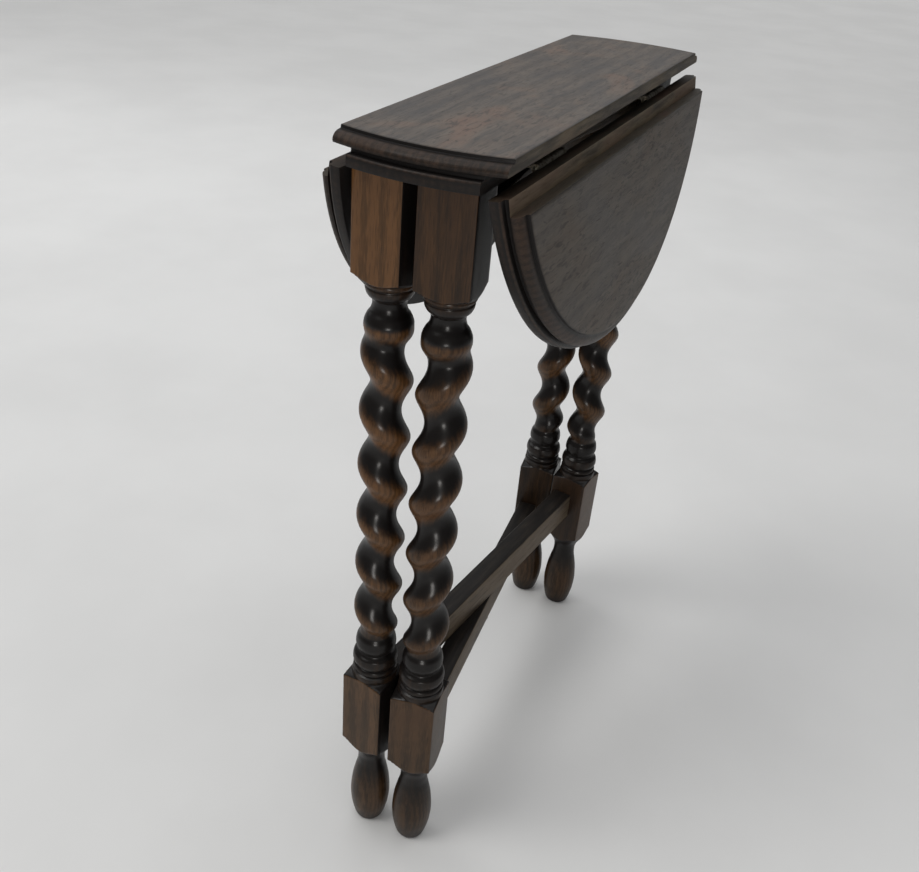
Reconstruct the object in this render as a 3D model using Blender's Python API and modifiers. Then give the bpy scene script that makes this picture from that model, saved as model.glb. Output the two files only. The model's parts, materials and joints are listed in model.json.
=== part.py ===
"""Small drop-leaf table with two crossing leg frames and barley-twist legs, folded.

Metres, +Z up. The origin is on the floor under the middle of the top. X runs across the
folded table and Y along its top. Frame A (near left and far right leg) passes over frame B.
"""
import math

import bmesh
import bpy
from mathutils import Matrix, Vector

# ---- driving dimensions -------------------------------------------------------------
HEIGHT = 0.660
GAP = 0.0003                      # between pieces that touch

# top: an ellipse cut into a middle board and two leaves
BOARD_T = 0.021
UPPER_T = 0.0095                  # thickness of the layer above the rebate
SEMI_Y = 0.218                    # flat surface, half length along Y
SEMI_X = 0.2035                   # flat surface, half width along X, leaves up
BOARD_HALF = 0.060                # half width of the middle board's upper layer
REBATE_HALF = 0.046               # half width of its lower layer
LEAF_EDGE = 0.0605                # shoulder of the raised leaf
TONGUE_EDGE = 0.0499              # end of the raised leaf's tongue
TONGUE_DROP = 0.0004              # tongue below the overhang
# edge moulding, from the flat surface down: (depth, outset from the flat outline)
MOULD_UPPER = [(0.0, 0.0), (0.0030, 0.0002), (0.0033, 0.0050), (0.0045, 0.0082),
               (0.0062, 0.0095), (UPPER_T, 0.0087)]
MOULD_LOWER = [(UPPER_T + 0.0001, 0.0065), (0.0130, 0.0063), (0.0132, 0.0116),
               (0.0145, 0.0124), (0.0200, 0.0124), (BOARD_T, 0.0114)]
END_SEGMENTS = 12
LEAF_SEGMENTS = 32

# leaf hinges
HINGE_X = 0.0495
HINGE_Z = 0.6375
HANG_ANGLE = math.radians(83.6)   # from raised to hanging
HINGE_Y = 0.121                   # middle of each hinge from the middle of the table
HINGE_LENGTH = 0.050
KNUCKLES = 5
KNUCKLE_R = 0.0030
PIN_R = 0.0012
PLATE_T = 0.0017
PLATE_REACH = 0.0225              # from the axis to the plate's far edge
SCREW_X = 0.0135                  # screw holes from the axis
SCREW_Y = 0.014                   # screw holes from the hinge's middle
SCREW_HEAD_R = 0.0030
SCREW_SHANK_R = 0.0013
SCREW_LENGTH = 0.0095
SLOT_W = 0.0007

# leg frames
FRAME_ANGLE = math.radians(6.5)   # each frame from the Y axis, folded
PIVOT_X = -0.0085
LEG_OFFSET = 0.005                # leg centres beside the line of the rails
LEG_RADIUS = 0.198                # leg centres from the pivot, along the frame
BLOCK = 0.040
LEG_TOP = 0.637
BAR_T = 0.0205
STRETCHER_H = 0.0305
STRETCHER_A_TOP = 0.171
RAIL_H = 0.0310
RAIL_A_TOP = 0.636
STACK_GAP = 0.0007                # between a bar of frame A and the one under it
TENON_T = 0.012
TENON_SHOULDER = 0.004
TENON_LENGTH = 0.021

# turned leg: (height, radius); the square stock trims what is wider than BLOCK
CORNER_R = 0.0290
FOOT = [(0.0, 0.0105), (0.006, 0.0138), (0.020, 0.0170), (0.038, 0.0183), (0.056, 0.0166),
        (0.070, 0.0135), (0.081, 0.0124), (0.094, 0.0148), (0.103, 0.0198), (0.107, 0.0240),
        (0.111, CORNER_R), (0.186, CORNER_R), (0.190, 0.0240), (0.193, 0.0190),
        (0.197, 0.0186), (0.203, 0.0198), (0.209, 0.0170), (0.214, 0.0176), (0.219, 0.0150)]
HEAD = [(0.543, 0.0124), (0.548, 0.0140), (0.551, 0.0175), (0.556, 0.0186), (0.560, 0.0178),
        (0.563, 0.0215), (0.567, CORNER_R), (LEG_TOP, CORNER_R)]
TWIST_LOW = 0.224
TWIST_HIGH = 0.538
TWIST_PITCH = 0.0477
TWIST_R = 0.0158
TWIST_OFFSET = 0.0038
TWIST_FADE = 0.014                # run-in at each end of the twist
TWIST_STEPS = 7                   # rings in one turn
LEG_SIDES = 12
# leg: (frame, end, handedness, world direction of the offset, at this height)
LEGS = {
    "leg_near_left": ("a", -1, -1, 25.0, 0.530),
    "leg_far_right": ("a", 1, -1, 25.0, 0.227),
    "leg_near_right": ("b", -1, 1, 205.0, 0.530),
    "leg_far_left": ("b", 1, 1, 25.0, 0.2452),
}

# pivots
PIVOT_SHANK_R = 0.0030
PIVOT_HEAD_R = 0.0065
PIVOT_HEAD_H = 0.0035
PIVOT_DEPTH = 0.014               # how far the screw bites into the last piece
WASHER_R = 0.010
WASHER_T = 0.0015

# colour, roughness and metallic value of each kind of surface
FINISHES = {
    "oak_top": ((0.115, 0.082, 0.066), 0.45, 0.0),
    "oak_turned": ((0.130, 0.062, 0.030), 0.35, 0.0),
    "oak_frame": ((0.105, 0.075, 0.055), 0.55, 0.0),
    "hinge_metal": ((0.480, 0.450, 0.380), 0.40, 1.0),
    "screw_metal": ((0.420, 0.390, 0.330), 0.45, 1.0),
}

parts = bpy.data.collections.new("gateleg_table")
cutters = bpy.data.collections.new("cutters")


# ---- helpers ------------------------------------------------------------------------
def clear_scene():
    for old in list(bpy.data.objects):
        bpy.data.objects.remove(old)
    bpy.context.scene.collection.children.link(parts)
    bpy.context.scene.collection.children.link(cutters)


def finish(node, kind):
    colour, roughness, metallic = FINISHES[kind]
    material = bpy.data.materials.new(node + "_finish")
    material.use_nodes = True
    shader = material.node_tree.nodes["Principled BSDF"]
    shader.inputs["Base Color"].default_value = (*colour, 1.0)
    shader.inputs["Roughness"].default_value = roughness
    shader.inputs["Metallic"].default_value = metallic
    return material


def add_part(node, mesh, kind, parent=None, location=(0, 0, 0), rotation=(0, 0, 0)):
    body = bpy.data.objects.new(node, mesh)
    parts.objects.link(body)
    body.parent = parent
    body.location = location
    body.rotation_euler = rotation
    material = finish(node, kind)
    if not mesh.materials:
        mesh.materials.append(material)
    body.material_slots[0].link = "OBJECT"
    body.material_slots[0].material = material
    return body


def add_empty(name, location, rotation=(0, 0, 0)):
    empty = bpy.data.objects.new(name, None)
    parts.objects.link(empty)
    empty.location = location
    empty.rotation_euler = rotation
    return empty


def add_cutter(name, mesh, parent=None):
    cutter = bpy.data.objects.new(name, mesh)
    cutters.objects.link(cutter)
    cutter.parent = parent
    cutter.hide_render = True
    cutter.display_type = "WIRE"
    return cutter


def combine(body, other, operation):
    modifier = body.modifiers.new(operation.lower(), "BOOLEAN")
    modifier.operation = operation
    modifier.solver = "EXACT"
    modifier.object = other


def to_mesh(name, shape):
    mesh = bpy.data.meshes.new(name)
    bmesh.ops.recalc_face_normals(shape, faces=shape.faces)
    shape.to_mesh(mesh)
    shape.free()
    return mesh


def add_box(shape, low, high):
    low, high = Vector(low), Vector(high)
    place = Matrix.Translation((low + high) / 2) @ Matrix.Diagonal((*(high - low), 1.0))
    bmesh.ops.create_cube(shape, size=1.0, matrix=place)


def add_cylinder(shape, start, end, radius, sides, end_radius=None):
    start, end = Vector(start), Vector(end)
    turn = (end - start).to_track_quat("Z", "Y").to_matrix().to_4x4()
    bmesh.ops.create_cone(
        shape, cap_ends=True, segments=sides, radius1=radius,
        radius2=radius if end_radius is None else end_radius,
        depth=(end - start).length, matrix=Matrix.Translation((start + end) / 2) @ turn)


def turned(name, profile, sides):
    """Mesh of a turned piece; the profile of (radius, height) runs from top to bottom."""
    shape = bmesh.new()
    points = [shape.verts.new((radius, 0.0, height)) for radius, height in profile]
    for above, below in zip(points, points[1:]):
        shape.edges.new((above, below))
    mesh = bpy.data.meshes.new(name)
    shape.to_mesh(mesh)
    shape.free()
    body = bpy.data.objects.new(name, mesh)
    parts.objects.link(body)
    screw = body.modifiers.new("turn", "SCREW")
    screw.steps = sides
    screw.render_steps = sides
    screw.use_merge_vertices = True
    screw.merge_threshold = 0.00001
    return baked(body)


def baked(body):
    """The evaluated mesh of an object that is then removed."""
    depsgraph = bpy.context.evaluated_depsgraph_get()
    mesh = bpy.data.meshes.new_from_object(body.evaluated_get(depsgraph))
    bpy.data.objects.remove(body)
    return mesh


def smooth(mesh, angle=40.0):
    mesh.shade_smooth()
    mesh.set_sharp_from_angle(angle=math.radians(angle))
    return mesh


def loft(name, rings):
    """Closed mesh through rings of points, all with the same count."""
    shape = bmesh.new()
    loops = [[shape.verts.new(point) for point in ring] for ring in rings]
    count = len(loops[0])
    for lower, upper in zip(loops, loops[1:]):
        for i in range(count):
            j = (i + 1) % count
            shape.faces.new((lower[i], lower[j], upper[j], upper[i]))
    shape.faces.new(loops[0])
    shape.faces.new(loops[-1])
    return to_mesh(name, shape)


# ---- top ----------------------------------------------------------------------------
def end_y(x, outset):
    return (SEMI_Y + outset) * math.sqrt(1.0 - (x / (SEMI_X + outset)) ** 2)


def board_ring(depth, outset, half):
    xs = [half * (2.0 * i / END_SEGMENTS - 1.0) for i in range(END_SEGMENTS + 1)]
    near = [(x, -end_y(x, outset), HEIGHT - depth) for x in xs]
    far = [(x, end_y(x, outset), HEIGHT - depth) for x in reversed(xs)]
    return near + far


def leaf_ring(depth, outset, edge):
    """Outline of the raised right leaf, measured from its hinge axis."""
    limit = math.acos(edge / (SEMI_X + outset))
    ring = []
    for i in range(LEAF_SEGMENTS + 1):
        angle = limit * (2.0 * i / LEAF_SEGMENTS - 1.0)
        x = (SEMI_X + outset) * math.cos(angle)
        y = (SEMI_Y + outset) * math.sin(angle)
        ring.append((x - HINGE_X, y, HEIGHT - depth - HINGE_Z))
    return ring


def screw_holes(shape, x, z_low, z_high):
    """Pilot holes of the two hinges along one edge."""
    for hinge_y in (-HINGE_Y, HINGE_Y):
        for side in (-1, 1):
            y = hinge_y + side * SCREW_Y
            add_cylinder(shape, (x, y, z_low), (x, y, z_high), SCREW_SHANK_R + GAP, 8)


def make_centre_board():
    rings = [board_ring(depth, outset, BOARD_HALF) for depth, outset in MOULD_UPPER]
    rings += [board_ring(depth, outset, REBATE_HALF) for depth, outset in MOULD_LOWER]
    board = add_part("centre_board", loft("centre_board", rings), "oak_top")
    holes = bmesh.new()
    underside = HEIGHT - BOARD_T
    for side in (-1, 1):
        x = side * (HINGE_X - SCREW_X)
        screw_holes(holes, x, underside - 0.002, HINGE_Z + SCREW_LENGTH + 0.001)
    top_of_hole = underside + PIVOT_DEPTH + GAP
    add_cylinder(holes, (PIVOT_X, 0, underside - 0.002), (PIVOT_X, 0, top_of_hole),
                 PIVOT_SHANK_R + GAP, 12)
    combine(board, add_cutter("board_holes", to_mesh("board_holes", holes)), "DIFFERENCE")
    return board


def make_leaf(node, side):
    edge_lower = TONGUE_EDGE
    rings = [leaf_ring(depth, outset, LEAF_EDGE) for depth, outset in MOULD_UPPER]
    rings += [leaf_ring(max(depth, UPPER_T + TONGUE_DROP), outset, edge_lower)
              for depth, outset in MOULD_LOWER]
    rings = [[(side * x, y, z) for x, y, z in ring] for ring in rings]
    leaf = add_part(node, loft(node, rings), "oak_top", None,
                    (side * HINGE_X, 0, HINGE_Z), (0, side * HANG_ANGLE, 0))
    holes = bmesh.new()
    underside = HEIGHT - BOARD_T - HINGE_Z
    screw_holes(holes, side * SCREW_X, underside - 0.002, SCREW_LENGTH + 0.001)
    for hinge_y in (-HINGE_Y, HINGE_Y):
        reach = HINGE_LENGTH / 2 + 0.0005
        add_cylinder(holes, (0, hinge_y - reach, 0), (0, hinge_y + reach, 0),
                     KNUCKLE_R + 0.0004, 16)
    cutter = add_cutter(node + "_holes", to_mesh(node + "_holes", holes), leaf)
    combine(leaf, cutter, "DIFFERENCE")
    return leaf


# ---- hinges -------------------------------------------------------------------------
def hinge_plate_mesh(name, parity):
    """Plate on the +X side of the axis with every second knuckle, bored for the pin."""
    plate = bmesh.new()
    half = HINGE_LENGTH / 2
    top = HEIGHT - BOARD_T - HINGE_Z - GAP
    inner = KNUCKLE_R + 0.0004
    add_box(plate, (inner, -half, top - PLATE_T), (PLATE_REACH, half, top))
    body = bpy.data.objects.new(name, to_mesh(name, plate))
    parts.objects.link(body)
    knuckles = bmesh.new()
    tabs = bmesh.new()
    length = HINGE_LENGTH / KNUCKLES
    for i in range(KNUCKLES):
        if i % 2 != parity:
            continue
        start = -half + i * length + (GAP / 2 if i else 0.0)
        end = -half + (i + 1) * length - (GAP / 2 if i < KNUCKLES - 1 else 0.0)
        add_cylinder(knuckles, (0, start, 0), (0, end, 0), KNUCKLE_R, 12)
        margin = 0.00005
        add_box(tabs, (0.0002, start + margin, top - PLATE_T + margin),
                (inner + 0.001, end - margin, top - margin))
    bore = bmesh.new()
    add_cylinder(bore, (0, -half - 0.002, 0), (0, half + 0.002, 0), PIN_R + GAP, 10)
    sinks = bmesh.new()
    for side in (-1, 1):
        y = side * SCREW_Y
        add_cylinder(bore, (SCREW_X, y, top - PLATE_T - 0.001), (SCREW_X, y, top + 0.001),
                     SCREW_SHANK_R + GAP, 10)
        add_cylinder(sinks, (SCREW_X, y, top - PLATE_T - 0.0005), (SCREW_X, y, top - 0.0003),
                     SCREW_HEAD_R + 0.0009, 10, SCREW_SHANK_R)
    helpers = [
        (add_cutter("tabs", to_mesh("tabs", tabs)), "UNION"),
        (add_cutter("knuckles", to_mesh("knuckles", knuckles)), "UNION"),
        (add_cutter("bore", to_mesh("bore", bore)), "DIFFERENCE"),
        (add_cutter("sinks", to_mesh("sinks", sinks)), "DIFFERENCE"),
    ]
    for helper, operation in helpers:
        combine(body, helper, operation)
    mesh = baked(body)
    for helper, _ in helpers:
        bpy.data.objects.remove(helper)
    return smooth(mesh)


def screw_mesh(name):
    """Countersunk screw, head at z = 0 facing down, shank upwards."""
    head = 0.0016
    profile = [(0.0, SCREW_LENGTH), (SCREW_SHANK_R, SCREW_LENGTH - 0.003),
               (SCREW_SHANK_R, head), (SCREW_HEAD_R, 0.0002), (SCREW_HEAD_R, 0.0), (0.0, 0.0)]
    mesh = turned(name, profile, 10)
    body = bpy.data.objects.new(name, mesh)
    parts.objects.link(body)
    slot = bmesh.new()
    add_box(slot, (-SLOT_W / 2, -0.004, -0.001), (SLOT_W / 2, 0.004, 0.0006))
    cutter = add_cutter("slot", to_mesh("slot", slot))
    combine(body, cutter, "DIFFERENCE")
    mesh = baked(body)
    bpy.data.objects.remove(cutter)
    return smooth(mesh)


def make_hinges(leaves):
    fixed_mesh = hinge_plate_mesh("hinge_plate_fixed", 0)
    moving_mesh = hinge_plate_mesh("hinge_plate_moving", 1)
    screw = screw_mesh("hinge_screw")
    pin = turned("hinge_pin", [(0.0, HINGE_LENGTH / 2), (PIN_R, HINGE_LENGTH / 2 - 0.0003),
                               (PIN_R, -HINGE_LENGTH / 2 + 0.0003),
                               (0.0, -HINGE_LENGTH / 2)], 8)
    smooth(pin)
    head_z = HEIGHT - BOARD_T - HINGE_Z - GAP - PLATE_T - GAP
    for side, hand in ((-1, "left"), (1, "right")):
        leaf = leaves[hand]
        for end, place in ((-1, "near"), (1, "far")):
            label = hand + "_" + place
            y = end * HINGE_Y
            axis = (side * HINGE_X, y, HINGE_Z)
            flip = 0.0 if side > 0 else math.pi
            add_part("hinge_" + label + "_board_plate", fixed_mesh, "hinge_metal", None,
                     axis, (0, 0, math.pi - flip))
            add_part("hinge_" + label + "_leaf_plate", moving_mesh, "hinge_metal", leaf,
                     (0, y, 0), (0, 0, flip))
            add_part("hinge_" + label + "_pin", pin, "hinge_metal", None, axis,
                     (math.pi / 2, 0, 0))
            for number, offset in ((1, -SCREW_Y), (2, SCREW_Y)):
                add_part(f"screw_{label}_board_{number}", screw, "screw_metal", None,
                         (side * (HINGE_X - SCREW_X), y + offset, HINGE_Z + head_z))
                add_part(f"screw_{label}_leaf_{number}", screw, "screw_metal", leaf,
                         (side * SCREW_X, y + offset, head_z))


# ---- legs ---------------------------------------------------------------------------
def turned_ring(height, radius, offset=0.0, direction=0.0):
    """Section of the square stock turned to a circle whose centre may be off the axis."""
    ring = []
    for i in range(LEG_SIDES):
        angle = 2.0 * math.pi * (i + 0.5) / LEG_SIDES
        apart = angle - direction
        reach = offset * math.cos(apart)
        reach += math.sqrt(radius ** 2 - (offset * math.sin(apart)) ** 2)
        stock = BLOCK / 2 / max(abs(math.cos(angle)), abs(math.sin(angle)))
        reach = min(reach, stock)
        ring.append((reach * math.cos(angle), reach * math.sin(angle), height))
    return ring


def leg_mesh(node, hand, direction, height_of_direction):
    rings = [turned_ring(height, radius) for height, radius in FOOT]
    steps = round((TWIST_HIGH - TWIST_LOW) / TWIST_PITCH * TWIST_STEPS)
    for i in range(steps + 1):
        height = TWIST_LOW + (TWIST_HIGH - TWIST_LOW) * i / steps
        fade = min(1.0, (height - TWIST_LOW + 0.002) / TWIST_FADE,
                   (TWIST_HIGH - height + 0.002) / TWIST_FADE)
        turn = hand * 2.0 * math.pi * (height - height_of_direction) / TWIST_PITCH
        radius = TWIST_R * (0.86 + 0.14 * fade)
        rings.append(turned_ring(height, radius, TWIST_OFFSET * fade, direction + turn))
    rings += [turned_ring(height, radius) for height, radius in HEAD]
    return smooth(loft(node, rings), 50.0)


def bar_bottoms(top, height):
    """Undersides of the bars of frame A and frame B, where A's top is given."""
    return {"a": top - height, "b": top - 2 * height - STACK_GAP}


STRETCHER_Z = bar_bottoms(STRETCHER_A_TOP, STRETCHER_H)
RAIL_Z = bar_bottoms(RAIL_A_TOP, RAIL_H)


def add_mortises(shape, frame, end):
    """Sockets for the tenons, in the leg's own axes."""
    face = -end * BLOCK / 2
    for bottom, height in ((STRETCHER_Z[frame], STRETCHER_H), (RAIL_Z[frame], RAIL_H)):
        low = bottom + TENON_SHOULDER - GAP
        high = bottom + height - TENON_SHOULDER + GAP
        deep = face + end * (TENON_LENGTH + GAP)
        outside = face - end * 0.002
        half = TENON_T / 2 + GAP
        add_box(shape, (-LEG_OFFSET - half, min(deep, outside), low),
                (-LEG_OFFSET + half, max(deep, outside), high))


def make_legs(frames):
    yaw = {"a": -FRAME_ANGLE, "b": FRAME_ANGLE}
    for node, (frame, end, hand, direction, height) in LEGS.items():
        local_direction = math.radians(direction) - yaw[frame]
        mesh = leg_mesh(node, hand, local_direction, height)
        leg = add_part(node, mesh, "oak_turned", frames[frame],
                       (LEG_OFFSET, end * LEG_RADIUS, 0))
        sockets = bmesh.new()
        add_mortises(sockets, frame, end)
        cutter = add_cutter(node + "_mortises", to_mesh(node + "_mortises", sockets), leg)
        combine(leg, cutter, "DIFFERENCE")


# ---- rails and stretchers -----------------------------------------------------------
def bar_mesh(name, bottom, height):
    """Square bar with a tenon at each end, lofted along the frame."""
    shoulder = LEG_RADIUS - BLOCK / 2 - GAP
    tip = LEG_RADIUS - BLOCK / 2 + TENON_LENGTH
    thick = (BAR_T / 2, bottom, bottom + height)
    thin = (TENON_T / 2, bottom + TENON_SHOULDER, bottom + height - TENON_SHOULDER)
    rings = []
    for y, (half, low, high) in ((-tip, thin), (-shoulder, thin), (-shoulder, thick),
                                 (shoulder, thick), (shoulder, thin), (tip, thin)):
        rings.append([(-half, y, low), (half, y, low), (half, y, high), (-half, y, high)])
    return loft(name, rings)


def make_bar(node, frame, parent, bottom, height, hole_low, hole_high):
    bar = add_part(node, bar_mesh(node, bottom, height), "oak_frame", parent)
    hole = bmesh.new()
    add_cylinder(hole, (0, 0, hole_low), (0, 0, hole_high), PIVOT_SHANK_R + GAP, 12)
    cutter = add_cutter(node + "_hole", to_mesh(node + "_hole", hole), parent)
    combine(bar, cutter, "DIFFERENCE")
    return bar


def pivot_screw_mesh(name, length):
    """Round-head screw, underside of the head at z = 0, shank upwards."""
    profile = [(0.0, length), (PIVOT_SHANK_R, length - 0.002), (PIVOT_SHANK_R, 0.0),
               (PIVOT_HEAD_R, 0.0), (PIVOT_HEAD_R * 0.9, -PIVOT_HEAD_H * 0.5),
               (PIVOT_HEAD_R * 0.5, -PIVOT_HEAD_H * 0.9), (0.0, -PIVOT_HEAD_H)]
    return smooth(turned(name, profile, 14))


def washer_mesh(name):
    inner = PIVOT_SHANK_R + GAP
    ring = [(inner, 0.0), (inner, WASHER_T), (WASHER_R, WASHER_T), (WASHER_R, 0.0), (inner, 0.0)]
    return smooth(turned(name, ring, 16))


def make_frames():
    frames = {
        "a": add_empty("frame_a_pivot", (PIVOT_X, 0, 0), (0, 0, -FRAME_ANGLE)),
        "b": add_empty("frame_b_pivot", (PIVOT_X, 0, 0), (0, 0, FRAME_ANGLE)),
    }
    make_legs(frames)
    over = 0.002
    lower = STRETCHER_Z["b"]
    blind = STRETCHER_Z["a"] + PIVOT_DEPTH
    make_bar("stretcher_b", "b", frames["b"], lower, STRETCHER_H, lower - over,
             lower + STRETCHER_H + over)
    make_bar("stretcher_a", "a", frames["a"], STRETCHER_Z["a"], STRETCHER_H,
             STRETCHER_Z["a"] - over, blind + GAP)
    for frame in ("a", "b"):
        bottom = RAIL_Z[frame]
        make_bar("rail_" + frame, frame, frames[frame], bottom, RAIL_H, bottom - over,
                 bottom + RAIL_H + over)
    return frames


def make_pivots(frames):
    washer = washer_mesh("pivot_washer")
    tops = {"lower": STRETCHER_Z["a"] + PIVOT_DEPTH, "upper": HEIGHT - BOARD_T + PIVOT_DEPTH}
    bottoms = {"lower": STRETCHER_Z["b"], "upper": RAIL_Z["b"]}
    for level, parent, x in (("lower", frames["b"], 0.0), ("upper", None, PIVOT_X)):
        washer_bottom = bottoms[level] - GAP - WASHER_T
        seat = washer_bottom - GAP
        node = "pivot_screw_" + level
        add_part(node, pivot_screw_mesh(node, tops[level] - seat), "screw_metal", parent,
                 (x, 0, seat))
        add_part("pivot_washer_" + level, washer, "screw_metal", parent, (x, 0, washer_bottom))


clear_scene()
make_centre_board()
leaf_by_side = {"left": make_leaf("leaf_left", -1), "right": make_leaf("leaf_right", 1)}
make_hinges(leaf_by_side)
make_pivots(make_frames())
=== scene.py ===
"""Looks of the folded gateleg table: turned legs, moulded boards, stained oak, worn steel."""
import math

import bmesh
import bpy
from mathutils import Matrix, Vector
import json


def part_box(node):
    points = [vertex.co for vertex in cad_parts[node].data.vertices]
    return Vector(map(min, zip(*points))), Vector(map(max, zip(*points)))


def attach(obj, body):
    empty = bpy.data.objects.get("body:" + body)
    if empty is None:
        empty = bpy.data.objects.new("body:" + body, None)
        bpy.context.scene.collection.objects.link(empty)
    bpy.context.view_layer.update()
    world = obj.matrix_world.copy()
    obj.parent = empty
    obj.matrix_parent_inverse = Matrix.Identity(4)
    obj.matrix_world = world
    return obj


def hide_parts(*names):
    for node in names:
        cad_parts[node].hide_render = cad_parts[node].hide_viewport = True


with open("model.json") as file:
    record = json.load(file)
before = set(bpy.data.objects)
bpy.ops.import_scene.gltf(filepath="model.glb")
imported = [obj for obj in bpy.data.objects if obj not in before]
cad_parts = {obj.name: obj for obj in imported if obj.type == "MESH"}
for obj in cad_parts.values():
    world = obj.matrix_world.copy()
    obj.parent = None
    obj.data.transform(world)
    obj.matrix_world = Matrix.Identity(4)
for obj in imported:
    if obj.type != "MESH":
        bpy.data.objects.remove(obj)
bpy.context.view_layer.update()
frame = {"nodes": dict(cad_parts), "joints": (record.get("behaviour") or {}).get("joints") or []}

# ---- places and sizes from the frame --------------------------------------------------
JOINTS = {joint["name"]: joint for joint in frame["joints"]}
BOARD_LOW, BOARD_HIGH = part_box("centre_board")
TOP_Z = BOARD_HIGH[2]
BOARD_T = TOP_Z - BOARD_LOW[2]
BOARD_HALF = BOARD_HIGH[0]
HINGE_X, _, HINGE_Z = JOINTS["leaf_right_lift"]["pos_m"]
HANG_ANGLE = math.radians(JOINTS["leaf_right_lift"]["range_deg"][1])
PIVOT_X = JOINTS["frame_a_swing"]["pos_m"][0]

# ---- driving dimensions of the visible shapes, in metres -------------------------------
UPPER_T = 0.0095                  # upper layer of each board, above the rebate
RIM_OUTSET = 0.0124               # outermost moulding beyond the flat outline
SEMI_Y = BOARD_HIGH[1] - RIM_OUTSET
SEMI_X = 0.2035
REBATE_HALF = 0.046
LEAF_EDGE = 0.0605
TONGUE_EDGE = 0.0499
END_POINTS = 49
LEAF_POINTS = 161
BLOCK = 0.040
CORNER_ROUND = 0.0012             # worn arris of the square blocks
EASE_DEPTH = 0.0008               # the boards' top arrises are rounded down to here
ON_SURFACE = 0.0002               # a face this close to the top surface belongs to it
FRAME_ANGLE = math.radians(6.5)
BAR_ROUND = 0.0012
TWIST_PITCH = 0.0477
TWIST_R = 0.0158
TWIST_OFFSET = 0.0039
TWIST_LOW = 0.238
TWIST_HIGH = 0.526
TWIST_FADE = 0.016
TWIST_LOW_R = 0.0140              # plain radius where the twist starts and ends
TWIST_HIGH_R = 0.0180
WEAR_AND_SHADE_SHIFT = 0.0065               # the brown band sits this far below each ridge: wear on the ridge, set lower as painted shade on each lobe's upper half
LEG_REACH = 0.198                 # from the pivots to a leg's axis
BAR_HALF_T = 0.01025
BAR_STEPS = 60

# leg: body, end of the frame, frame's turn, twist hand, offset's world direction, its height
LEGS = {
    "leg_near_left": ("frame_a", -1, -FRAME_ANGLE, -1, 25.0, 0.530),
    "leg_far_right": ("frame_a", 1, -FRAME_ANGLE, -1, 25.0, 0.227),
    "leg_near_right": ("frame_b", -1, FRAME_ANGLE, 1, 205.0, 0.530),
    "leg_far_left": ("frame_b", 1, FRAME_ANGLE, 1, 25.0, 0.2452),
}


# ---- shader helpers --------------------------------------------------------------------
class Graph:
    """Small helper that adds and links shader nodes of one material."""

    def __init__(self, name):
        self.material = bpy.data.materials.new(name)
        self.material.use_nodes = True
        self.tree = self.material.node_tree
        self.shader = self.tree.nodes["Principled BSDF"]

    def add(self, kind, **settings):
        node = self.tree.nodes.new(kind)
        for key, value in settings.items():
            setattr(node, key, value)
        return node

    def feed(self, socket, value):
        if isinstance(value, bpy.types.NodeSocket):
            self.tree.links.new(value, socket)
        else:
            socket.default_value = value

    def coords(self, scale=(1, 1, 1), offset=(0, 0, 0), turn=0.0):
        source = self.add("ShaderNodeTexCoord").outputs["Object"]
        mapping = self.add("ShaderNodeMapping")
        self.feed(mapping.inputs["Vector"], source)
        mapping.inputs["Rotation"].default_value = (0, 0, turn)
        mapping.inputs["Scale"].default_value = scale
        mapping.inputs["Location"].default_value = offset
        return mapping.outputs["Vector"]

    def noise(self, vector, scale, detail=2.0, roughness=0.5, distortion=0.0):
        node = self.add("ShaderNodeTexNoise")
        self.feed(node.inputs["Vector"], vector)
        node.inputs["Scale"].default_value = scale
        node.inputs["Detail"].default_value = detail
        node.inputs["Roughness"].default_value = roughness
        node.inputs["Distortion"].default_value = distortion
        return node.outputs["Fac"]

    def bands(self, vector, spacing, distortion, detail_scale, axis="X"):
        node = self.add("ShaderNodeTexWave", wave_type="BANDS", bands_direction=axis)
        self.feed(node.inputs["Vector"], vector)
        node.inputs["Scale"].default_value = math.pi / (10.0 * spacing)
        node.inputs["Distortion"].default_value = distortion
        node.inputs["Detail"].default_value = 2.0
        node.inputs["Detail Scale"].default_value = detail_scale
        return node.outputs["Fac"]

    def span(self, value, low, high, to_low=0.0, to_high=1.0):
        node = self.add("ShaderNodeMapRange", interpolation_type="SMOOTHSTEP")
        self.feed(node.inputs["Value"], value)
        for key, number in (("From Min", low), ("From Max", high), ("To Min", to_low),
                            ("To Max", to_high)):
            node.inputs[key].default_value = number
        return node.outputs["Result"]

    def math(self, operation, first, second):
        node = self.add("ShaderNodeMath", operation=operation)
        self.feed(node.inputs[0], first)
        self.feed(node.inputs[1], second)
        return node.outputs[0]

    def mix(self, factor, first, second, blend="MIX"):
        node = self.add("ShaderNodeMix", data_type="RGBA", blend_type=blend)
        self.feed(node.inputs[0], factor)
        self.feed(node.inputs[6], first)
        self.feed(node.inputs[7], second)
        return node.outputs[2]

    def attribute(self, name):
        return self.add("ShaderNodeAttribute", attribute_name=name).outputs["Fac"]

    def bump(self, height, strength, distance):
        node = self.add("ShaderNodeBump")
        self.feed(node.inputs["Height"], height)
        node.inputs["Strength"].default_value = strength
        node.inputs["Distance"].default_value = distance
        return node.outputs["Normal"]


def rgba(red, green, blue):
    return (red, green, blue, 1.0)


# near-black stain, also the colour of painted shade where the wear-and-shade attribute is low
STAIN_AND_SHADE = rgba(0.0075, 0.0060, 0.0055)
TARNISH = rgba(0.10, 0.075, 0.05)

# the oak's grain: scale of each noise, per metre, and its part in the tone
FIBRE_SCALE, FIBRE_PART = 900.0, 0.30
STREAK_SCALE, STREAK_PART = 190.0, 0.34
BLOTCH_SCALE, BLOTCH_PART = 17.0, 0.34
PORE_SCALE, PORE_PART = 2300.0, 0.45
RAY_SCALE = 330.0
WEAR_AND_SHADE_FROM, WEAR_AND_SHADE_TO = 0.08, 0.75
TINT_LOW, TINT_HIGH = 0.15, 0.45  # heights between which the painted grey veil on a leg's lower part fades out


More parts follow.
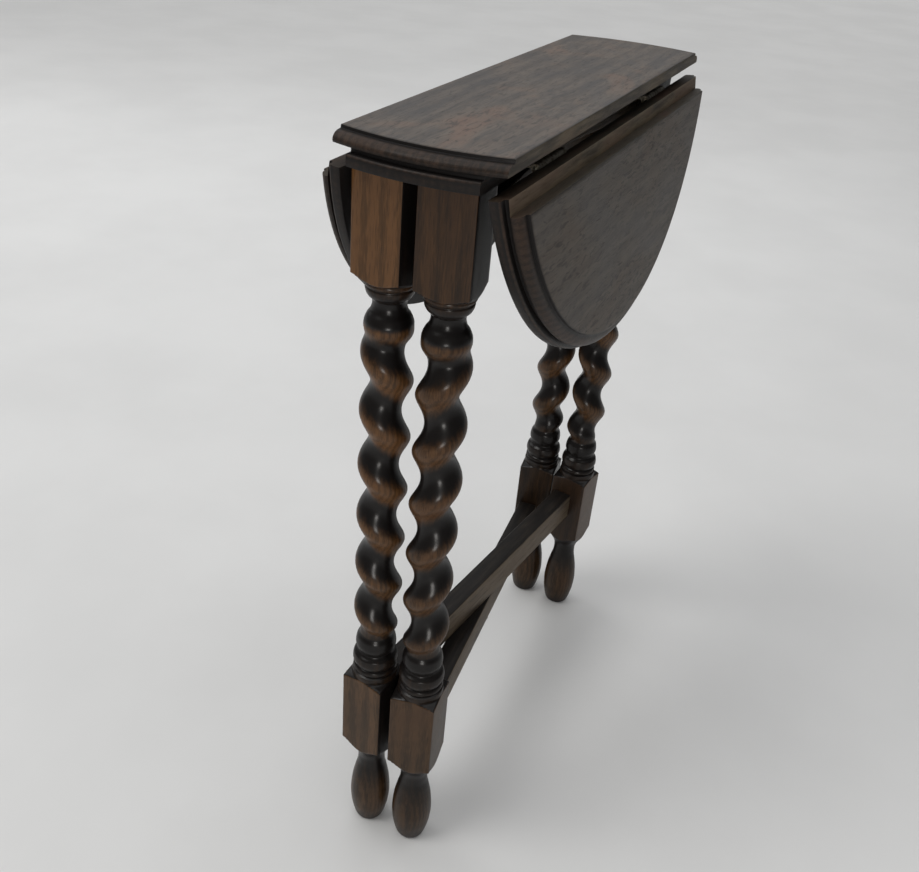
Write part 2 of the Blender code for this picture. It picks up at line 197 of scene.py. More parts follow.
def oak(name, dark, light, along, ring, shift, gloss, coat, uses_wear_and_shade=True,
        reddish=rgba(0.070, 0.030, 0.018), red_part=0.4, fleck=0.0, ring_part=0.30, turn=0.0,
        shine=0.2, coat_rough=0.2, painted_low_veil=None):
    """Stained oak; along is 'Y' or 'Z', the way the grain runs in the piece's own axes.

    ring is the spacing of the year rings, fleck the strength of the ray flecks, red_part that
    of the reddish blotches. The low tint is a painted cool grey veil on the lower part of a leg.
    The mesh attribute of rubbing and painted shade is 1 where the stain has rubbed through to
    brown and 0 where it is black; its low values also stand for painted shade on faces in
    shadow, and its brown peaks on the mouldings for painted highlights.
    """
    graph = Graph(name)
    slow = {"Y": (1, 0.10, 1), "Z": (1, 1, 0.10)}[along]
    fine = {"Y": (1, 0.03, 1), "Z": (1, 1, 0.03)}[along]
    wide = {"Y": (1, 0.5, 1), "Z": (1, 1, 0.5)}[along]
    ring_axis = {"Y": "X", "Z": "Y"}[along]
    rings = graph.bands(graph.coords(slow, shift, turn), ring, 4.0, 9.0, ring_axis)
    fibres = graph.noise(graph.coords(fine, shift), FIBRE_SCALE, 3.0, 0.6)
    streaks = graph.noise(graph.coords(slow, shift), STREAK_SCALE, 3.0, 0.65)
    blotch = graph.noise(graph.coords(wide, shift), BLOTCH_SCALE, 4.0, 0.62, 0.6)
    pores = graph.noise(graph.coords(fine, shift), PORE_SCALE, 1.0, 0.5)
    pore_mask = graph.span(pores, 0.60, 0.74)
    tone = graph.math("MULTIPLY", rings, ring_part)
    tone = graph.math("ADD", tone, graph.math("MULTIPLY", streaks, STREAK_PART))
    tone = graph.math("ADD", tone, graph.math("MULTIPLY", fibres, FIBRE_PART))
    clouds = graph.math("MULTIPLY", graph.span(blotch, 0.3, 0.7), BLOTCH_PART)
    tone = graph.math("ADD", tone, clouds)
    colour = graph.mix(graph.span(tone, 0.25, 0.80 + 0.5 * ring_part), dark, light)
    red_mask = graph.math("MULTIPLY", graph.span(blotch, 0.50, 0.72), red_part)
    colour = graph.mix(red_mask, colour, reddish)
    if fleck:
        rays = graph.noise(graph.coords((1, 0.22, 1), shift), RAY_SCALE, 2.0, 0.6, 0.8)
        ray_mask = graph.math("MULTIPLY", graph.span(rays, 0.52, 0.66), fleck)
        colour = graph.mix(ray_mask, colour, rgba(*[part * 0.6 for part in dark[:3]]))
    colour = graph.mix(graph.math("MULTIPLY", pore_mask, PORE_PART), colour, STAIN_AND_SHADE)
    # painted reflection: a cool grey veil over the lower part of a leg
    if painted_low_veil:
        split = graph.add("ShaderNodeSeparateXYZ")
        graph.feed(split.inputs["Vector"], graph.coords())
        veil_fade = graph.span(split.outputs["Z"], TINT_LOW, TINT_HIGH, 0.75, 0.0)
        colour = graph.mix(veil_fade, colour, graph.mix(1.0, colour, painted_low_veil, "MULTIPLY"))
    # the attribute turns the colour to the black stain, as real stain and as painted shade on
    # faces in shadow
    if uses_wear_and_shade:
        edge = graph.math("MULTIPLY", graph.math("SUBTRACT", streaks, 0.5), 0.4)
        edge = graph.math("ADD", graph.attribute("wear_and_shade"), edge)
        colour = graph.mix(graph.span(edge, WEAR_AND_SHADE_FROM, WEAR_AND_SHADE_TO), STAIN_AND_SHADE, colour)
    graph.feed(graph.shader.inputs["Base Color"], colour)
    rough = graph.math("ADD", graph.span(blotch, 0.3, 0.7, gloss - 0.05, gloss + 0.07),
                       graph.math("MULTIPLY", pore_mask, 0.12))
    graph.feed(graph.shader.inputs["Roughness"], rough)
    relief = graph.math("SUBTRACT", fibres, graph.math("MULTIPLY", pore_mask, 0.6))
    graph.feed(graph.shader.inputs["Normal"], graph.bump(relief, 0.25, 0.0004))
    graph.shader.inputs["Coat Weight"].default_value = coat
    graph.shader.inputs["Coat Roughness"].default_value = coat_rough
    graph.shader.inputs["Specular IOR Level"].default_value = shine
    return graph.material


def worn_steel(name, tint):
    """Dull steel with brown tarnish in patches and fine scratches along Y."""
    graph = Graph(name)
    cloud = graph.noise(graph.coords(), 260.0, 4.0, 0.6)
    scratch = graph.noise(graph.coords((1, 0.06, 1)), 2200.0, 2.0, 0.5)
    colour = graph.mix(graph.span(cloud, 0.42, 0.66), tint, TARNISH)
    graph.feed(graph.shader.inputs["Base Color"], colour)
    graph.shader.inputs["Metallic"].default_value = 0.9
    graph.feed(graph.shader.inputs["Roughness"], graph.span(cloud, 0.3, 0.7, 0.30, 0.58))
    graph.feed(graph.shader.inputs["Normal"], graph.bump(scratch, 0.15, 0.0001))
    return graph.material


# ---- mesh helpers ----------------------------------------------------------------------
def finish_piece(piece, body, node, materials, smooth_angle=35.0):
    """Put the finished mesh in the scene, on its body, in the place of its node."""
    bpy.context.scene.collection.objects.link(piece)
    mesh = piece.data
    for material in materials:
        mesh.materials.append(material)
    mesh.shade_smooth()
    mesh.set_sharp_from_angle(angle=math.radians(smooth_angle))
    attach(piece, body)
    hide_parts(node)


def loft(name, rings, wear_and_shade, material_of=None):
    """Closed mesh through equal rings of points, with a level of rubbing and painted shade for
    each ring or point.
    """
    shape = bmesh.new()
    layer = shape.verts.layers.float.new("wear_and_shade")
    loops = []
    for ring, value in zip(rings, wear_and_shade):
        loop = [shape.verts.new(point) for point in ring]
        for i, vert in enumerate(loop):
            vert[layer] = value[i] if isinstance(value, (list, tuple)) else value
        loops.append(loop)
    count = len(loops[0])
    for lower, upper in zip(loops, loops[1:]):
        for i in range(count):
            j = (i + 1) % count
            shape.faces.new((lower[i], lower[j], upper[j], upper[i]))
    shape.faces.new(loops[0])
    shape.faces.new(loops[-1])
    bmesh.ops.recalc_face_normals(shape, faces=shape.faces)
    if material_of:
        for face in shape.faces:
            face.material_index = material_of(face)
    mesh = bpy.data.meshes.new(name)
    shape.to_mesh(mesh)
    shape.free()
    return bpy.data.objects.new(name, mesh)


# ---- top -------------------------------------------------------------------------------
def arc(centre, radius, start, end, count):
    """Points (depth, outset) on an arc; angles in degrees, 0 is outwards and 90 is down."""
    points = []
    for i in range(count):
        angle = math.radians(start + (end - start) * i / (count - 1))
        points.append((centre[0] + radius * math.sin(angle),
                       centre[1] + radius * math.cos(angle)))
    return points


def moulding():
    """Edge profile as (depth, outset, level of rubbing and painted light), from the flat surface
    down to the underside.

    The upper layer has a quirk and an ovolo; the lower layer ends in a rounded rim. The brown
    peaks on the ovolo and on the rim are rubbing on their fullest parts and painted highlights.
    """
    profile = [(0.0, -0.0100, 1.0), (0.0, -0.0030, 0.95), (0.0, -0.0010, 0.55),
               (0.0003, -0.0002, 0.25), (EASE_DEPTH, 0.0, 0.0), (0.0021, 0.0001, 0.0),
               (0.0025, 0.0006, 0.0), (0.0026, 0.0016, 0.15)]
    # ovolo: brown in its middle, as wear on its fullest part and as a painted highlight
    for step in range(13):
        turn = math.radians(4.0 + 86.0 * step / 12)
        profile.append((0.0080 - 0.0054 * math.cos(turn), 0.0018 + 0.0077 * math.sin(turn),
                        0.42 + 0.30 * math.sin(math.pi * step / 12)))
    profile.append((0.0093, 0.0090, 0.35))
    lower = [(UPPER_T + 0.0002, 0.0066, 0.0), (0.0112, 0.0062, 0.0), (0.0126, 0.0066, 0.0)]
    # rim bead: brown in its middle, as wear and as a painted highlight
    lower += [(d, o, 0.12 + 0.45 * math.sin(math.pi * i / 5))
              for i, (d, o) in enumerate(arc((0.0146, 0.0104), 0.0020, -80.0, 5.0, 6))]
    lower += [(0.0170, RIM_OUTSET, 0.33), (0.0196, RIM_OUTSET - 0.0001, 0.25),
              (0.0206, 0.0119, 0.15), (BOARD_T, 0.0108, 0.0)]
    return profile, lower


def end_y(x, outset):
    """Distance from the middle to the board's curved end, at one x."""
    return (SEMI_Y + outset) * math.sqrt(1.0 - (x / (SEMI_X + outset)) ** 2)


def board_ring(depth, outset, half):
    """Outline of the centre board, half wide on each side, at one step of the profile."""
    xs = [half * (2.0 * i / (END_POINTS - 1) - 1.0) for i in range(END_POINTS)]
    near = [(x, -end_y(x, outset), TOP_Z - depth) for x in xs]
    far = [(x, end_y(x, outset), TOP_Z - depth) for x in reversed(xs)]
    return near + far


def leaf_ring(depth, outset, edge):
    """Outline of the right-hand leaf from its hinge axis; edge is its straight side's x."""
    limit = math.acos(edge / (SEMI_X + outset))
    ring = []
    for i in range(LEAF_POINTS):
        angle = limit * (2.0 * i / (LEAF_POINTS - 1) - 1.0)
        ring.append(((SEMI_X + outset) * math.cos(angle) - HINGE_X,
                     (SEMI_Y + outset) * math.sin(angle), TOP_Z - depth - HINGE_Z))
    return ring


def side_drop(outset, depth):
    """How far a long straight edge is rounded back at this step of the profile."""
    if depth >= EASE_DEPTH:
        return 0.0
    return max(0.0001, -outset * 0.9)


FACE, MOULDED_AND_SHADED, LONG_EDGE, SHOULDER = range(4)    # slots of a board's materials; the moulded slot's dark oak also paints shade on rebates and undersides


def is_long(face):
    """True for the faces between the two ends of the board, along its length."""
    ys = [vert.co.y for vert in face.verts]
    return max(ys) - min(ys) > 0.2


def centre_face_kind(face):
    middle = face.calc_center_median()
    if face.normal.z > 0.9 and middle.z > TOP_Z - ON_SURFACE:
        return FACE
    if is_long(face) and abs(middle.x) > BOARD_HALF - 0.002:
        return LONG_EDGE
    # curved moulding, and the rebate's faces under the upper layer, dark there as painted shade
    return MOULDED_AND_SHADED


def leaf_face_kind(face):
    middle = face.calc_center_median()
    depth = TOP_Z - HINGE_Z - middle.z
    if face.normal.z > 0.9 and depth < ON_SURFACE:
        return FACE
    # the leaf's underside, dark as painted shade
    if face.normal.z < -0.9:
        return MOULDED_AND_SHADED
    if is_long(face) and abs(face.normal.z) > 0.9:
        return LONG_EDGE
    # upright faces of the straight edge: dark partly as painted shade under the upper layer
    if is_long(face):
        return SHOULDER
    return MOULDED_AND_SHADED


def make_centre_board(materials):
    upper, lower = moulding()
    rings = [board_ring(d, o, BOARD_HALF - side_drop(o, d)) for d, o, _ in upper]
    rings += [board_ring(d, o, REBATE_HALF) for d, o, _ in lower]
    wear_and_shade = [w for _, _, w in upper + lower]
    piece = loft("centre_board_fine", rings, wear_and_shade, centre_face_kind)
    finish_piece(piece, "top", "centre_board", materials)


def make_leaf(side, hand, materials):
    """Leaf on one side, built level and turned down to hang; side is -1 or 1."""
    upper, lower = moulding()
    rings = [leaf_ring(d, o, LEAF_EDGE + side_drop(o, d)) for d, o, _ in upper]
    rings += [leaf_ring(max(d, UPPER_T + 0.0004), o, TONGUE_EDGE) for d, o, _ in lower]
    rings = [[(side * x, y, z) for x, y, z in ring] for ring in rings]
    wear_and_shade = [w for _, _, w in upper + lower]
    piece = loft("leaf_" + hand + "_fine", rings, wear_and_shade, leaf_face_kind)
    piece.location = (side * HINGE_X, 0, HINGE_Z)
    piece.rotation_euler = (0, side * HANG_ANGLE, 0)
    finish_piece(piece, "leaf_" + hand, "leaf_" + hand, materials)


# ---- legs ------------------------------------------------------------------------------
def hermite(points, at):
    """Smooth curve through (height, radius) points that does not overshoot them."""
    for i in range(len(points) - 1):
        (z0, r0), (z1, r1) = points[i], points[i + 1]
        if at <= z1 or i == len(points) - 2:
            break
    span = z1 - z0
    slope = (r1 - r0) / span
    before = (r0 - points[i - 1][1]) / (z0 - points[i - 1][0]) if i > 0 else slope
    after = (points[i + 2][1] - r1) / (points[i + 2][0] - z1) if i + 2 < len(points) else slope
    m0 = 0.0 if before * slope <= 0 else 2.0 * before * slope / (before + slope)
    m1 = 0.0 if after * slope <= 0 else 2.0 * after * slope / (after + slope)
    t = min(1.0, max(0.0, (at - z0) / span))
    return ((2 * t ** 3 - 3 * t ** 2 + 1) * r0 + (t ** 3 - 2 * t ** 2 + t) * span * m0
            + (3 * t ** 2 - 2 * t ** 3) * r1 + (t ** 3 - t ** 2) * span * m1)


WIDE = 0.0300                     # radius past a block's corners: the block shows there
LEG_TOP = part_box("leg_near_left")[1][2]
FOOT_TOP = 0.1110
BASE_LOW = 0.1865
HEAD_TOP = 0.5665
BLOCK_BLEND = 0.0006              # softness where turned parts meet the square blocks

# wear and painted shade of the blocks' faces: 1 is brown, 0 is black
# the near right leg's upper end face is kept darker as painted shade
UPPER_END_WEAR_AND_SHADE = {"leg_near_right": 0.40, "leg_near_left": 1.0}
OTHER_UPPER_WEAR = 0.9
LOWER_END_WEAR = 0.82
LOWER_SIDE_WEAR = 0.80
# faces towards the table's middle, the inner sides and the upper outer sides under the hanging
# leaves: dark as painted shade
MIDDLE_FACE_SHADE = 0.35
HIDDEN_FACE_SHADE = 0.12

# turned profiles as (height, radius)
FOOT_PROFILE = [(0.0, 0.0118), (0.0008, 0.0128), (0.0030, 0.0139), (0.010, 0.0158),
                (0.022, 0.0179), (0.034, 0.0186), (0.050, 0.0175), (0.066, 0.0146),
                (0.076, 0.0126), (0.083, 0.0124), (0.091, 0.0138), (0.098, 0.0172),
                (0.104, 0.0212), (0.1085, 0.0256), (FOOT_TOP, WIDE)]
BASE_PROFILE = [(BASE_LOW, WIDE), (0.1890, 0.0256), (0.1908, 0.0206), (0.1915, 0.0197),
                (0.1935, 0.0199), (0.1965, 0.0196), (0.1975, 0.0178), (0.1985, 0.0184),
                (0.2005, 0.0192), (0.2030, 0.0184), (0.2040, 0.0172), (0.2055, 0.0184),
                (0.2100, 0.0196), (0.2150, 0.0188), (0.2180, 0.0160), (0.2195, 0.0152),
                (0.2215, 0.0160), (0.2270, 0.0174), (0.2330, 0.0166),
                (TWIST_LOW, TWIST_LOW_R)]
HEAD_PROFILE = [(TWIST_HIGH, TWIST_HIGH_R), (0.5290, 0.0178), (0.5340, 0.0160),
                (0.5385, 0.0132), (0.5430, 0.0122), (0.5455, 0.0124), (0.5475, 0.0138),
                (0.5495, 0.0158), (0.5525, 0.0172), (0.5550, 0.0176), (0.5562, 0.0170),
                (0.5572, 0.0178), (0.5590, 0.0188), (0.5600, 0.0186), (0.5610, 0.0198),
                (0.5625, 0.0225), (0.5645, 0.0258), (HEAD_TOP, WIDE)]


def leg_heights():
    """Heights of the rings: close on beads and block ends, wider on plain stretches."""
    top_edge = [LEG_TOP - 0.001, LEG_TOP - 0.0003, LEG_TOP]
    zones = [(0.0, 0.003, 0.0005), (0.003, 0.096, 0.002), (0.096, 0.1125, 0.0006),
             (0.1125, 0.1840, 0.0179), (0.1840, 0.2360, 0.0005), (0.2360, 0.5260, 0.0014),
             (0.5260, 0.5720, 0.0005), (0.5720, top_edge[0], 0.016)]
    heights = []
    for low, high, step in zones:
        count = max(1, round((high - low) / step))
        heights += [low + (high - low) * i / count for i in range(count)]
    return heights + top_edge


def leg_angles():
    """Angles of a ring's points: evenly spaced, with more at the blocks' four corners."""
    even = [i * math.tau / 48 for i in range(48)]
    corners = []
    for quarter in range(4):
        middle = math.pi / 4 + quarter * math.pi / 2
        corners += [middle + math.radians(step) for step in (-1.7, -0.85, 0.85, 1.7)]
    return sorted(even + corners)


ANGLES = leg_angles()


def square_reach(angle, half, rounding):
    """Distance from the axis to a rounded square's side in one direction."""
    across, along = sorted((abs(math.cos(angle)), abs(math.sin(angle))))
    flat = half / along
    if flat * across <= half - rounding:
        return flat
    centre = half - rounding
    ahead = centre * (across + along)
    return ahead + math.sqrt(max(0.0, rounding ** 2 - (2 * centre ** 2 - ahead ** 2)))


def smooth_min(first, second, soft):
    blend = max(0.0, 1.0 - abs(first - second) / soft)
    return min(first, second) - soft * blend * blend / 4.0


def twist_section(height, hand, direction, datum):
    """Reach and brown level round a ring of the twist, a circle whose centre winds round the
    axis.
    """
    fade = min(1.0, (height - TWIST_LOW) / TWIST_FADE, (TWIST_HIGH - height) / TWIST_FADE)
    fade = fade * fade * (3.0 - 2.0 * fade)
    end_r, end_wear = (TWIST_LOW_R, 0.28) if height < 0.4 else (TWIST_HIGH_R, 0.60)
    radius = end_r + (TWIST_R - end_r) * fade
    offset = TWIST_OFFSET * fade
    turn = direction + hand * math.tau * (height - datum) / TWIST_PITCH
    # the brown band: wear on the ridges, shifted down so the upper half of each lobe stays dark
    # as painted shade
    brown_band_turn = direction + hand * math.tau * (height + WEAR_AND_SHADE_SHIFT - datum) / TWIST_PITCH
    reaches, wear_and_shade = [], []
    for angle in ANGLES:
        apart = angle - turn
        reach = offset * math.cos(apart)
        reach += math.sqrt(radius ** 2 - (offset * math.sin(apart)) ** 2)
        reaches.append(reach)
        ridge = 0.5 + 0.5 * math.cos(angle - brown_band_turn)
        wear_and_shade.append(0.01 + 0.92 * ridge ** 1.5 * fade + end_wear * (1.0 - fade))
    return reaches, wear_and_shade


def turned_radius(height):
    if height <= FOOT_TOP:
        return hermite(FOOT_PROFILE, height)
    if height < BASE_LOW:
        return WIDE
    if height <= TWIST_LOW:
        return hermite(BASE_PROFILE, height)
    return hermite(HEAD_PROFILE, min(height, HEAD_TOP))


def leg_section(node, height):
    """Reach and brown level round a ring of the blocks, the base, the head or the foot."""
    trim = 0.0008 if height > LEG_TOP - 0.0002 else 0.0
    radius = turned_radius(height)
    reaches, wear_and_shade = [], []
    for angle in ANGLES:
        square = square_reach(angle, BLOCK / 2 - trim, CORNER_ROUND)
        reach = smooth_min(square, radius, BLOCK_BLEND)
        reaches.append(reach)
        on_block = square < radius
        wear_and_shade.append(block_wear_and_shade(node, height, angle) if on_block
                    else turned_wear_and_shade(height, reach))
    return reaches, wear_and_shade


def block_wear_and_shade(node, height, angle):
    """Brown level of a square block's four faces: outer faces rubbed to brown, faces in shadow
    kept dark as painted shade, and the near right leg's upper end face darker as painted shade.
    """
    upper = height > 0.3
    end_side = math.sin(angle) * LEGS[node][1]
    outer_side = math.cos(angle) * (1 if node.endswith("right") else -1)
    if abs(end_side) < 0.7:
        return LOWER_SIDE_WEAR if outer_side > 0 and not upper else HIDDEN_FACE_SHADE
    if end_side < 0:
        return MIDDLE_FACE_SHADE
    return UPPER_END_WEAR_AND_SHADE.get(node, OTHER_UPPER_WEAR) if upper else LOWER_END_WEAR


def turned_wear_and_shade(height, reach):
    """Brown level of the turned parts: brown on the fullest part of a bulge, black in the
    hollows; the lower block's upward-facing top is dark as stain and painted shade under the
    table top.
    """
    if height < 0.11:
        bulge = max(0.0, (reach - 0.0125) / 0.006)
        return 0.14 + 0.38 * min(1.0, bulge) if height < 0.085 else 0.10
    # top of the lower block: dark as stain and painted shade under the table top
    if 0.184 < height < 0.1915:
        return 0.04
    if height < TWIST_LOW:
        return 0.06 + 0.20 * max(0.0, (reach - 0.0170) / 0.003)
    if 0.546 < height < 0.561:
        return 0.15 + 0.30 * max(0.0, (reach - 0.0165) / 0.003)
    if height < 0.540:
        return max(0.04, 0.60 - 0.56 * (height - TWIST_HIGH) / 0.004)
    return 0.06


def make_leg(node, material):
    body, _, yaw, hand, direction, datum = LEGS[node]
    low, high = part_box(node)
    rings, wear_and_shade = [], []
    local_direction = math.radians(direction) - yaw
    for height in leg_heights():
        if TWIST_LOW < height < TWIST_HIGH:
            reaches, section_wear_and_shade = twist_section(height, hand, local_direction, datum)
        else:
            reaches, section_wear_and_shade = leg_section(node, height)
        rings.append([(reach * math.cos(a), reach * math.sin(a), height)
                      for reach, a in zip(reaches, ANGLES)])
        wear_and_shade.append(section_wear_and_shade)
    piece = loft(node + "_fine", rings, wear_and_shade)
    piece.location = ((low[0] + high[0]) / 2, (low[1] + high[1]) / 2, 0)
    piece.rotation_euler = (0, 0, yaw)
    finish_piece(piece, body, node, [material], 50.0)


# ---- rails and stretchers ----------------------------------------------------------------
def bar_section(half_h):
    """Points round the bar's cross-section, with four on each corner and three on each side."""
    corners = ((1, 1), (-1, 1), (-1, -1), (1, -1))
    section = []
    for corner, (sx, sz) in enumerate(corners):
        for i in range(4):
            angle = math.pi / 4 + corner * math.pi / 2 + (i - 1.5) * math.pi / 6
            section.append((sx * (BAR_HALF_T - BAR_ROUND) + BAR_ROUND * math.cos(angle),
                            sz * (half_h - BAR_ROUND) + BAR_ROUND * math.sin(angle)))
        x_next, z_next = corners[(corner + 1) % 4]
        start = section[-1]
        goal = (x_next * (BAR_HALF_T if sx == x_next else BAR_HALF_T - BAR_ROUND),
                z_next * (half_h if sz == z_next else half_h - BAR_ROUND))
        for part in (0.25, 0.5, 0.75):
            section.append((start[0] + (goal[0] - start[0]) * part,
                            start[1] + (goal[1] - start[1]) * part))
    return section


def bar_wear_and_shade(x, z):
    """Right-hand side brown, as rubbing and painted light from the right; left-hand side duller;
    top and bottom dark as stain and painted shade under the table top; x and z run -1 to 1.
    """
    # right-hand side: wear and painted light; top and bottom: stain and painted shade
    if x > abs(z):
        return 0.85
    return 0.45 if -x > abs(z) else 0.16


def make_bar(node, body, yaw, material):
    """Bar with softened, slightly wavering arrises between the two legs of its frame."""
    low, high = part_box(node)
    length = 2.0 * (LEG_REACH - BLOCK / 2 - 0.0002)
    half_h = (high[2] - low[2]) / 2
    section = bar_section(half_h)
    section_wear_and_shade = [bar_wear_and_shade(x / BAR_HALF_T, z / half_h) for x, z in section]
    rings = []
    for step in range(BAR_STEPS + 1):
        y = length * (step / BAR_STEPS - 0.5)
        waver = 0.00012 * math.sin(step * 0.9) + 0.00008 * math.sin(step * 2.3 + 1.0)
        rings.append([(x * (1 - abs(waver) * 40), y, z * (1 - abs(waver) * 20))
                      for x, z in section])
    piece = loft(node + "_fine", rings, [section_wear_and_shade] * len(rings))
    piece.location = (PIVOT_X, 0, (low[2] + high[2]) / 2)
    piece.rotation_euler = (0, 0, yaw)
    finish_piece(piece, body, node, [material], 50.0)


# ---- materials of the object -------------------------------------------------------------
FACE_OAK = oak("oak_face", rgba(0.022, 0.015, 0.011), rgba(0.128, 0.098, 0.072), "Y", 0.016,
               (0.34, 0.1, 0), 0.44, coat=0.10, reddish=rgba(0.160, 0.088, 0.058),
               red_part=0.75, fleck=0.60, ring_part=0.15, shine=0.26)
# the leaves' oak is the top's oak made darker as painted shade on the hanging leaves' upright
# faces
LEAF_OAK_SHADED = oak("oak_leaf_shaded", rgba(0.038, 0.029, 0.022), rgba(0.098, 0.080, 0.062), "Y", 0.016,
               (0.9, 0.2, 0), 0.48, coat=0.04, reddish=rgba(0.075, 0.048, 0.034),
               fleck=0.75, ring_part=0.15, shine=0.22)
# dark oak of the mouldings, also used as painted shade on the rebate faces and the undersides
MOULD_AND_SHADE_OAK = oak("oak_moulding_and_shade", rgba(0.016, 0.011, 0.008), rgba(0.050, 0.030, 0.020), "Y",
                0.006, (0.1, 0.2, 0), 0.50, coat=0.03, reddish=rgba(0.040, 0.022, 0.015))
EDGE_OAK = oak("oak_long_edge", rgba(0.026, 0.019, 0.012), rgba(0.150, 0.118, 0.078), "Y",
               0.009, (0.5, 0.1, 0), 0.55, coat=0.0, uses_wear_and_shade=False,
               reddish=rgba(0.125, 0.064, 0.046), ring_part=0.2)
# dark partly as painted shade under the overhanging upper layer
SHOULDER_OAK_SHADED = oak("oak_shoulder_shaded", rgba(0.014, 0.011, 0.007), rgba(0.044, 0.034, 0.022), "Y",
                   0.007, (0.7, 0.3, 0), 0.55, coat=0.0, uses_wear_and_shade=False)
FRAME_OAK = oak("oak_frame", rgba(0.028, 0.020, 0.013), rgba(0.138, 0.104, 0.070), "Y", 0.009,
                (0.2, 0.4, 0), 0.50, coat=0.03, reddish=rgba(0.050, 0.034, 0.024))
# painted shade: each leg's oak is darkened by how much shadow it stands in
LEG_SHADE = {"leg_near_left": 1.0, "leg_far_right": 0.85, "leg_near_right": 0.78,
             "leg_far_left": 0.85}


def leg_oak(node, shade, number):
    """A leg's own oak, darkened by its painted shade value, with its own stretch of grain."""
    return oak("oak_" + node, rgba(0.050 * shade, 0.024 * shade, 0.008 * shade),
               rgba(0.136 * shade, 0.063 * shade, 0.023 * shade), "Z", 0.0036,
               (0.13 * number, 0.37 * number, 0.0), 0.44, coat=0.34, ring_part=0.34,
               reddish=rgba(0.080 * shade, 0.036 * shade, 0.018 * shade), turn=0.25,
               shine=0.08, coat_rough=0.23, painted_low_veil=rgba(0.58, 0.70, 0.92))


LEG_OAK = {node: leg_oak(node, shade, number)
           for number, (node, shade) in enumerate(LEG_SHADE.items())}
HINGE_STEEL = worn_steel("hinge_steel", rgba(0.26, 0.24, 0.19))
SCREW_STEEL = worn_steel("screw_steel", rgba(0.20, 0.18, 0.15))

# ---- pieces ------------------------------------------------------------------------------
make_centre_board([FACE_OAK, MOULD_AND_SHADE_OAK, EDGE_OAK])
make_leaf(-1, "left", [LEAF_OAK_SHADED, MOULD_AND_SHADE_OAK, EDGE_OAK, SHOULDER_OAK_SHADED])
make_leaf(1, "right", [LEAF_OAK_SHADED, MOULD_AND_SHADE_OAK, EDGE_OAK, SHOULDER_OAK_SHADED])
for leg_node in LEGS:
    make_leg(leg_node, LEG_OAK[leg_node])
for bar_node, bar_body, bar_yaw in (("stretcher_a", "frame_a", -FRAME_ANGLE),
                                    ("stretcher_b", "frame_b", FRAME_ANGLE),
                                    ("rail_a", "frame_a", -FRAME_ANGLE),
                                    ("rail_b", "frame_b", FRAME_ANGLE)):
    make_bar(bar_node, bar_body, bar_yaw, FRAME_OAK)

for node_name, node_object in frame["nodes"].items():
    if node_name.startswith(("hinge_", "screw_", "pivot_")):
        steel = HINGE_STEEL if node_name.startswith("hinge_") else SCREW_STEEL
        node_object.data.materials.clear()
        node_object.data.materials.append(steel)


# ---- floor, light and camera ---------------------------------------------------------------
FLOOR_HALF = 12.0
FLOOR_FAR_SHADE = rgba(0.53, 0.53, 0.53)
WORLD_LIGHT, WORLD_SEEN = 0.12, 0.66    # the world's strength as light, and as seen behind
CAMERA_PLACE = (0.27017, -0.74447, 0.82387)
CAMERA_AZIMUTH, CAMERA_ELEVATION, CAMERA_ROLL = -25.09, 32.53, 4.10
CAMERA_LENS = 38.37
CAMERA_SHIFT = (0.0299, 0.0111)


def make_floor():
    """Pale floor, softly clouded, with painted shade that darkens it slowly towards the right.
    """
    graph = Graph("pale_floor")
    cloud = graph.noise(graph.coords(), 3.0, 4.0, 0.55)
    tint = graph.mix(graph.span(cloud, 0.3, 0.7), rgba(0.70, 0.70, 0.695),
                     rgba(0.74, 0.74, 0.735))
    place = graph.add("ShaderNodeSeparateXYZ")
    graph.feed(place.inputs["Vector"], graph.coords())
    # painted shade: the floor darkens towards the right
    tint = graph.mix(graph.span(place.outputs["X"], -0.2, 2.0), tint, FLOOR_FAR_SHADE)
    graph.feed(graph.shader.inputs["Base Color"], tint)
    graph.shader.inputs["Roughness"].default_value = 0.7
    shape = bmesh.new()
    bmesh.ops.create_grid(shape, x_segments=8, y_segments=8, size=FLOOR_HALF)
    mesh = bpy.data.meshes.new("floor")
    shape.to_mesh(mesh)
    shape.free()
    floor = bpy.data.objects.new("floor", mesh)
    bpy.context.scene.collection.objects.link(floor)
    mesh.materials.append(graph.material)


def make_sun(name, towards, strength, spread, colour):
    data = bpy.data.lights.new(name, "SUN")
    data.energy = strength
    data.angle = math.radians(spread)
    data.color = colour
    light = bpy.data.objects.new(name, data)
    light.rotation_euler = Vector(towards).to_track_quat("Z", "Y").to_euler()
    bpy.context.scene.collection.objects.link(light)


def make_light(name, place, target, size, power, colour=(1.0, 1.0, 1.0)):
    data = bpy.data.lights.new(name, "AREA")
    data.shape = "RECTANGLE"
    data.size, data.size_y = size
    data.energy = power
    data.color = colour
    light = bpy.data.objects.new(name, data)
    light.location = place
    aim = Vector(target) - Vector(place)
    light.rotation_euler = aim.to_track_quat("-Z", "Y").to_euler()
    light.visible_camera = False
    bpy.context.scene.collection.objects.link(light)


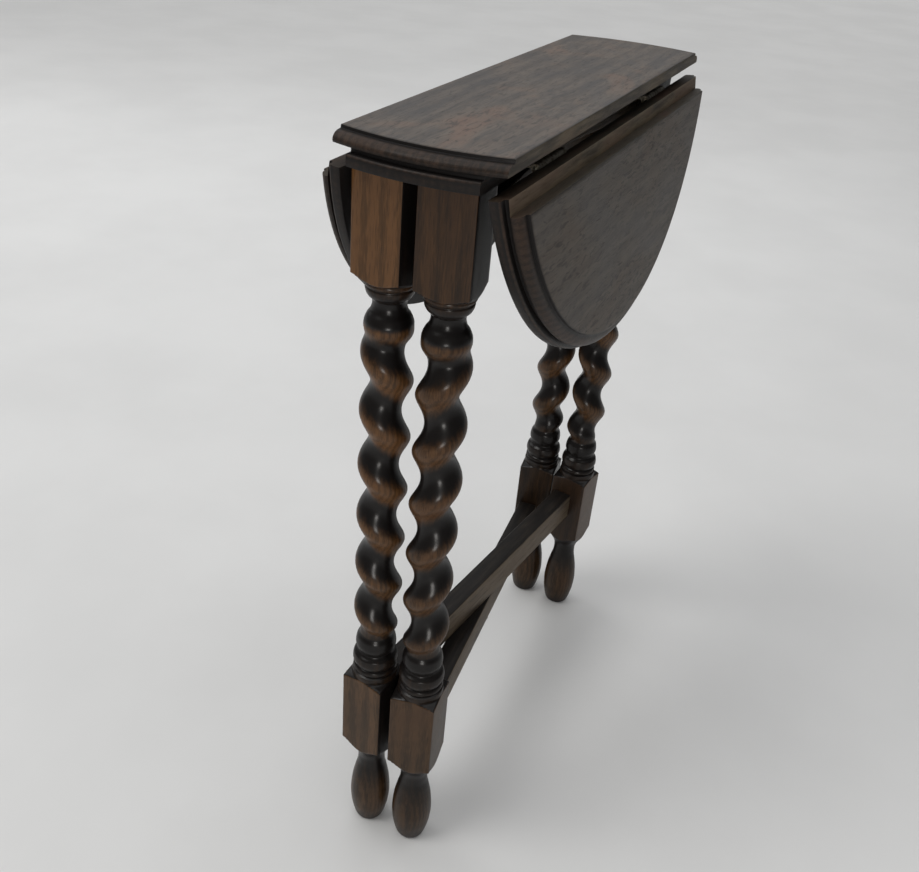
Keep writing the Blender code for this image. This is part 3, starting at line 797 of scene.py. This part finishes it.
def make_lights():
    middle = (0, 0, 0.4)
    make_sun("key", (-0.45, -0.40, 0.80), 0.85, 25.0, (1.0, 0.99, 0.97))
    make_sun("overhead", (0.0, 0.15, 0.98), 1.30, 70.0, (1.0, 1.0, 1.0))
    make_light("lamp", (0.78, -1.90, 0.64), middle, (0.42, 0.34), 8.5, (1.0, 0.97, 0.93))
    make_light("left_wash", (-2.8, 0.6, 1.8), (-0.6, 0, 0.0), (1.6, 1.6), 13.0)
    make_light("back_panel", (-0.9, 1.9, 1.75), (0, 0, 0.6), (2.2, 1.1), 6.5, (0.97, 0.985, 1.0))


def make_world():
    """Dim world that shows brighter to the camera than it lights the table."""
    world = bpy.data.worlds.new("studio")
    world.use_nodes = True
    tree = world.node_tree
    backdrop = tree.nodes["Background"]
    backdrop.inputs["Color"].default_value = rgba(0.95, 0.97, 1.0)
    seen = tree.nodes.new("ShaderNodeLightPath")
    level = tree.nodes.new("ShaderNodeMapRange")
    level.inputs["To Min"].default_value = WORLD_LIGHT
    level.inputs["To Max"].default_value = WORLD_SEEN
    tree.links.new(seen.outputs["Is Camera Ray"], level.inputs["Value"])
    tree.links.new(level.outputs["Result"], backdrop.inputs["Strength"])
    bpy.context.scene.world = world


def make_camera():
    """Camera that looks down on the table from near its right-hand end, slightly rolled."""
    azimuth, elevation, roll = (math.radians(angle) for angle in
                                (CAMERA_AZIMUTH, CAMERA_ELEVATION, CAMERA_ROLL))
    aim = Vector((math.sin(azimuth) * math.cos(elevation),
                  math.cos(azimuth) * math.cos(elevation), -math.sin(elevation)))
    right = aim.cross(Vector((0, 0, 1))).normalized()
    up = right.cross(aim)
    rolled_right = math.cos(roll) * right + math.sin(roll) * up
    rolled_up = -math.sin(roll) * right + math.cos(roll) * up
    data = bpy.data.cameras.new("camera")
    data.sensor_width = 36.0
    data.lens = CAMERA_LENS
    data.shift_x, data.shift_y = CAMERA_SHIFT
    data.clip_start = 0.01
    camera = bpy.data.objects.new("camera", data)
    turn = Matrix((rolled_right, rolled_up, -aim)).transposed().to_4x4()
    camera.matrix_world = Matrix.Translation(CAMERA_PLACE) @ turn
    bpy.context.scene.collection.objects.link(camera)
    bpy.context.scene.camera = camera


make_floor()
make_lights()
make_world()
make_camera()
bpy.context.scene.view_settings.view_transform = "Standard"
